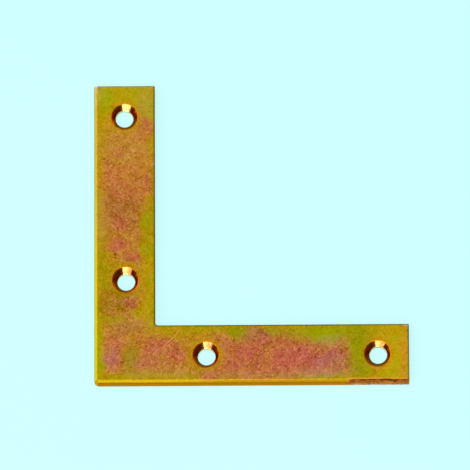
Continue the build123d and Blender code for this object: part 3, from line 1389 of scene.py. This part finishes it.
def plating(finish, shape):
    """Yellow chromate film on zinc: the colour follows how thick the film is."""
    material = bpy.data.materials.new("yellow_plating")
    material.use_nodes = True
    material.node_tree.nodes.clear()
    wiring = Wiring(material.node_tree)
    at = PlateSurface(wiring, shape)
    film = film_thickness(wiring, at)
    bloom = lay_zones(wiring, at.wandering, GREEN_BLOOM, 0.0)
    bloom = wiring.math("MULTIPLY", bloom, at.on_front)
    milky = milkiness(wiring, film, bloom)
    scratch = lay_scratches(wiring, at.drifted(wiring, SCRATCH_DRIFT))
    scratch = wiring.math("MULTIPLY", scratch, at.on_front)
    pit = dark_pits(wiring, at)

    colour = film_colour(wiring, finish, film)
    colour = wiring.tint(bloom, colour, finish.film_green)
    colour = rim_rings(wiring, finish, at, colour)
    colour = zinc_flecks(wiring, finish, at, colour, milky)
    colour = milky_veils(wiring, finish, at, colour, milky)
    colour = fibres_and_scratches(wiring, finish, at, colour, milky, scratch)
    colour = wiring.tint(pit, colour, finish.crack_and_shade_brown)
    colour = rolled_edges(wiring, finish, at, colour)
    colour = painted_edge_shade(wiring, finish, at, colour)
    colour, sheen = countersinks(wiring, finish, at, shape, colour)
    colour = worn_spots_and_glint(wiring, finish, at, colour)
    colour, in_tear = torn_stretch(wiring, finish, at, shape, colour)

    # How rough the film is: satin, with smoother countersinks and rougher rolls and tear
    grain_contrast, satin = (0.25, 0.75), (0.32, 0.42)
    roll_roughness, sink_roughness, torn_roughness = 0.45, 0.16, 0.6
    rough = wiring.fade(at.grain, *grain_contrast, *satin)
    rough = wiring.blend(at.on_roll, rough, roll_roughness)
    rough = wiring.blend(at.in_sink, rough, sink_roughness)
    rough = wiring.blend(in_tear, rough, torn_roughness)
    shader = wiring.node("ShaderNodeBsdfPrincipled")
    shader.inputs["Metallic"].default_value = 1.0
    wiring.feed(shader.inputs["Base Color"], colour)
    wiring.feed(shader.inputs["Roughness"], rough)
    shader.inputs["Specular Tint"].default_value = (*finish.edge_glint, 1)
    wiring.feed(shader.inputs["Coat Weight"], sheen)
    shader.inputs["Coat Roughness"].default_value = sink_roughness

    # Fine relief of the grain and specks, less of it in the countersinks
    relief, sink_relief, scratch_depth = 0.22, 0.06, 0.6
    bump = wiring.node("ShaderNodeBump")
    wiring.feed(bump.inputs["Strength"], wiring.blend(at.in_sink, relief, sink_relief))
    bump.inputs["Distance"].default_value = 0.02 * MM
    height = wiring.math("ADD", at.grain, at.speckle)
    height = wiring.math("SUBTRACT", height, wiring.math("MULTIPLY", scratch, scratch_depth))
    wiring.feed(bump.inputs["Height"], wiring.math("SUBTRACT", height, pit))
    wiring.feed(shader.inputs["Normal"], bump.outputs[0])
    output = wiring.node("ShaderNodeOutputMaterial")
    wiring.feed(output.inputs["Surface"], shader.outputs[0])
    return material


class BRACE_OT_plate(bpy.types.Operator):
    """Models the stamped plate and gives it its plating"""

    bl_idname = "brace.plate"
    bl_label = "Plate"

    def execute(self, context):
        scene = context.scene
        plate = model_plate(scene.brace_shape)
        plate.data.materials.clear()
        plate.data.materials.append(plating(scene.brace_finish, scene.brace_shape))
        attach(plate, "root")
        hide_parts(NODE)
        return {"FINISHED"}


def floor_material(finish):
    """Pale floor that shows its own colour to the camera and keeps a soft shadow."""
    material = bpy.data.materials.new("pale_floor")
    material.use_nodes = True
    material.node_tree.nodes.clear()
    wiring = Wiring(material.node_tree)
    rays = wiring.node("ShaderNodeLightPath").outputs
    seen = wiring.math("ADD", rays["Is Camera Ray"], rays["Is Glossy Ray"])
    seen = wiring.math("ADD", seen, rays["Is Transmission Ray"], clamp=True)
    paper = wiring.node("ShaderNodeBsdfDiffuse")
    wiring.feed(paper.inputs["Color"], (*finish.backdrop, 1))
    glow = wiring.node("ShaderNodeEmission")
    wiring.feed(glow.inputs["Color"], (*finish.backdrop, 1))
    glow.inputs["Strength"].default_value = 1.0
    mixed = wiring.node("ShaderNodeMixShader")
    wiring.feed(mixed.inputs[0], wiring.math("MULTIPLY", seen, FLOOR_GLOW_SHARE))
    wiring.feed(mixed.inputs[1], paper.outputs[0])
    wiring.feed(mixed.inputs[2], glow.outputs[0])
    output = wiring.node("ShaderNodeOutputMaterial")
    wiring.feed(output.inputs["Surface"], mixed.outputs[0])
    return material


def add_lamp(name, tilt, towards, width, height, radiance):
    """A softbox that faces the plate from a tilt off the vertical, towards a compass side.

    Width and height are angles as the plate sees them. A radiance of 1 shows a colour
    as written."""
    centre = (PLATE_LOW + PLATE_HIGH) / 2
    aside = Vector((towards[0], towards[1], 0)).normalized()
    facing = aside * sin(radians(tilt)) + Vector((0, 0, cos(radians(tilt))))
    level = Vector((-aside.y, aside.x, 0))
    upward = facing.cross(level)
    data = bpy.data.lights.new(name, "AREA")
    data.shape = "RECTANGLE"
    data.size = 2 * LAMP_DISTANCE * tan(radians(width / 2))
    data.size_y = 2 * LAMP_DISTANCE * tan(radians(height / 2))
    data.energy = radiance * pi * data.size * data.size_y
    lamp = bpy.data.objects.new(name, data)
    turned = Matrix((level, upward, facing)).transposed().to_4x4()
    lamp.matrix_world = Matrix.Translation(centre + facing * LAMP_DISTANCE) @ turned
    lamp.visible_camera = False
    bpy.context.collection.objects.link(lamp)


def add_camera():
    """The camera, placed so that the plate falls on the photograph's pixels."""
    back = Vector(
        (
            sin(PHOTO_SWING) * cos(PHOTO_TILT),
            -sin(PHOTO_TILT),
            cos(PHOTO_SWING) * cos(PHOTO_TILT),
        )
    )
    level = Vector((cos(PHOTO_SWING), 0, -sin(PHOTO_SWING)))
    upright = back.cross(level)
    right = cos(PHOTO_ROLL) * level + sin(PHOTO_ROLL) * upright
    up = back.cross(right)
    middle = PHOTO_WIDTH / 2
    aside = (AIM_PIXEL[0] - middle) / PHOTO_SCALE
    below = (AIM_PIXEL[1] - middle) / PHOTO_SCALE
    target = AIM_POINT - aside * right + below * up
    data = bpy.data.cameras.new("photo_camera")
    data.sensor_width = SENSOR
    data.lens = PHOTO_SCALE * CAMERA_DISTANCE * SENSOR / PHOTO_WIDTH
    camera = bpy.data.objects.new("photo_camera", data)
    turned = Matrix((right, up, back)).transposed().to_4x4()
    camera.matrix_world = Matrix.Translation(target + CAMERA_DISTANCE * back) @ turned
    bpy.context.collection.objects.link(camera)
    bpy.context.scene.camera = camera


class BRACE_OT_stage(bpy.types.Operator):
    """Sets up the floor, the softboxes and the camera"""

    bl_idname = "brace.stage"
    bl_label = "Stage"

    def execute(self, context):
        scene = context.scene
        bpy.ops.object.select_all(action="DESELECT")
        bpy.ops.mesh.primitive_plane_add(size=FLOOR_SIZE, location=(0, 0, -FLOOR_DROP))
        floor = bpy.context.object
        floor.name = "floor"
        bpy.ops.object.transform_apply(location=True, rotation=True, scale=True)
        floor.data.materials.append(floor_material(scene.brace_finish))
        for name, setting in SOFTBOXES.items():
            add_lamp(name, *setting)
        world = bpy.data.worlds.new("soft_room")
        world.use_nodes = True
        background = world.node_tree.nodes["Background"]
        background.inputs["Color"].default_value = (1, 1, 1, 1)
        background.inputs["Strength"].default_value = ROOM_LIGHT
        scene.world = world
        scene.view_settings.view_transform = "Standard"
        add_camera()
        return {"FINISHED"}


class BRACE_PT_sidebar(bpy.types.Panel):
    """Sizes, colours and steps of the corner brace"""

    bl_idname = "BRACE_PT_sidebar"
    bl_label = "Corner brace"
    bl_space_type = "VIEW_3D"
    bl_region_type = "UI"
    bl_category = "Corner brace"

    def draw(self, context):
        column = self.layout.column()
        for group in (context.scene.brace_shape, context.scene.brace_finish):
            for name in group.__annotations__:
                column.prop(group, name)
        column.operator(BRACE_OT_plate.bl_idname)
        column.operator(BRACE_OT_stage.bl_idname)


CLASSES = (BraceShape, BraceFinish, BRACE_OT_plate, BRACE_OT_stage, BRACE_PT_sidebar)


def register():
    for part in CLASSES:
        bpy.utils.register_class(part)
    bpy.types.Scene.brace_shape = bpy.props.PointerProperty(type=BraceShape)
    bpy.types.Scene.brace_finish = bpy.props.PointerProperty(type=BraceFinish)


def unregister():
    del bpy.types.Scene.brace_finish
    del bpy.types.Scene.brace_shape
    for part in reversed(CLASSES):
        bpy.utils.unregister_class(part)


def main():
    register()
    bpy.ops.brace.stage()
    bpy.ops.brace.plate()


if __name__ == "__main__":
    main()
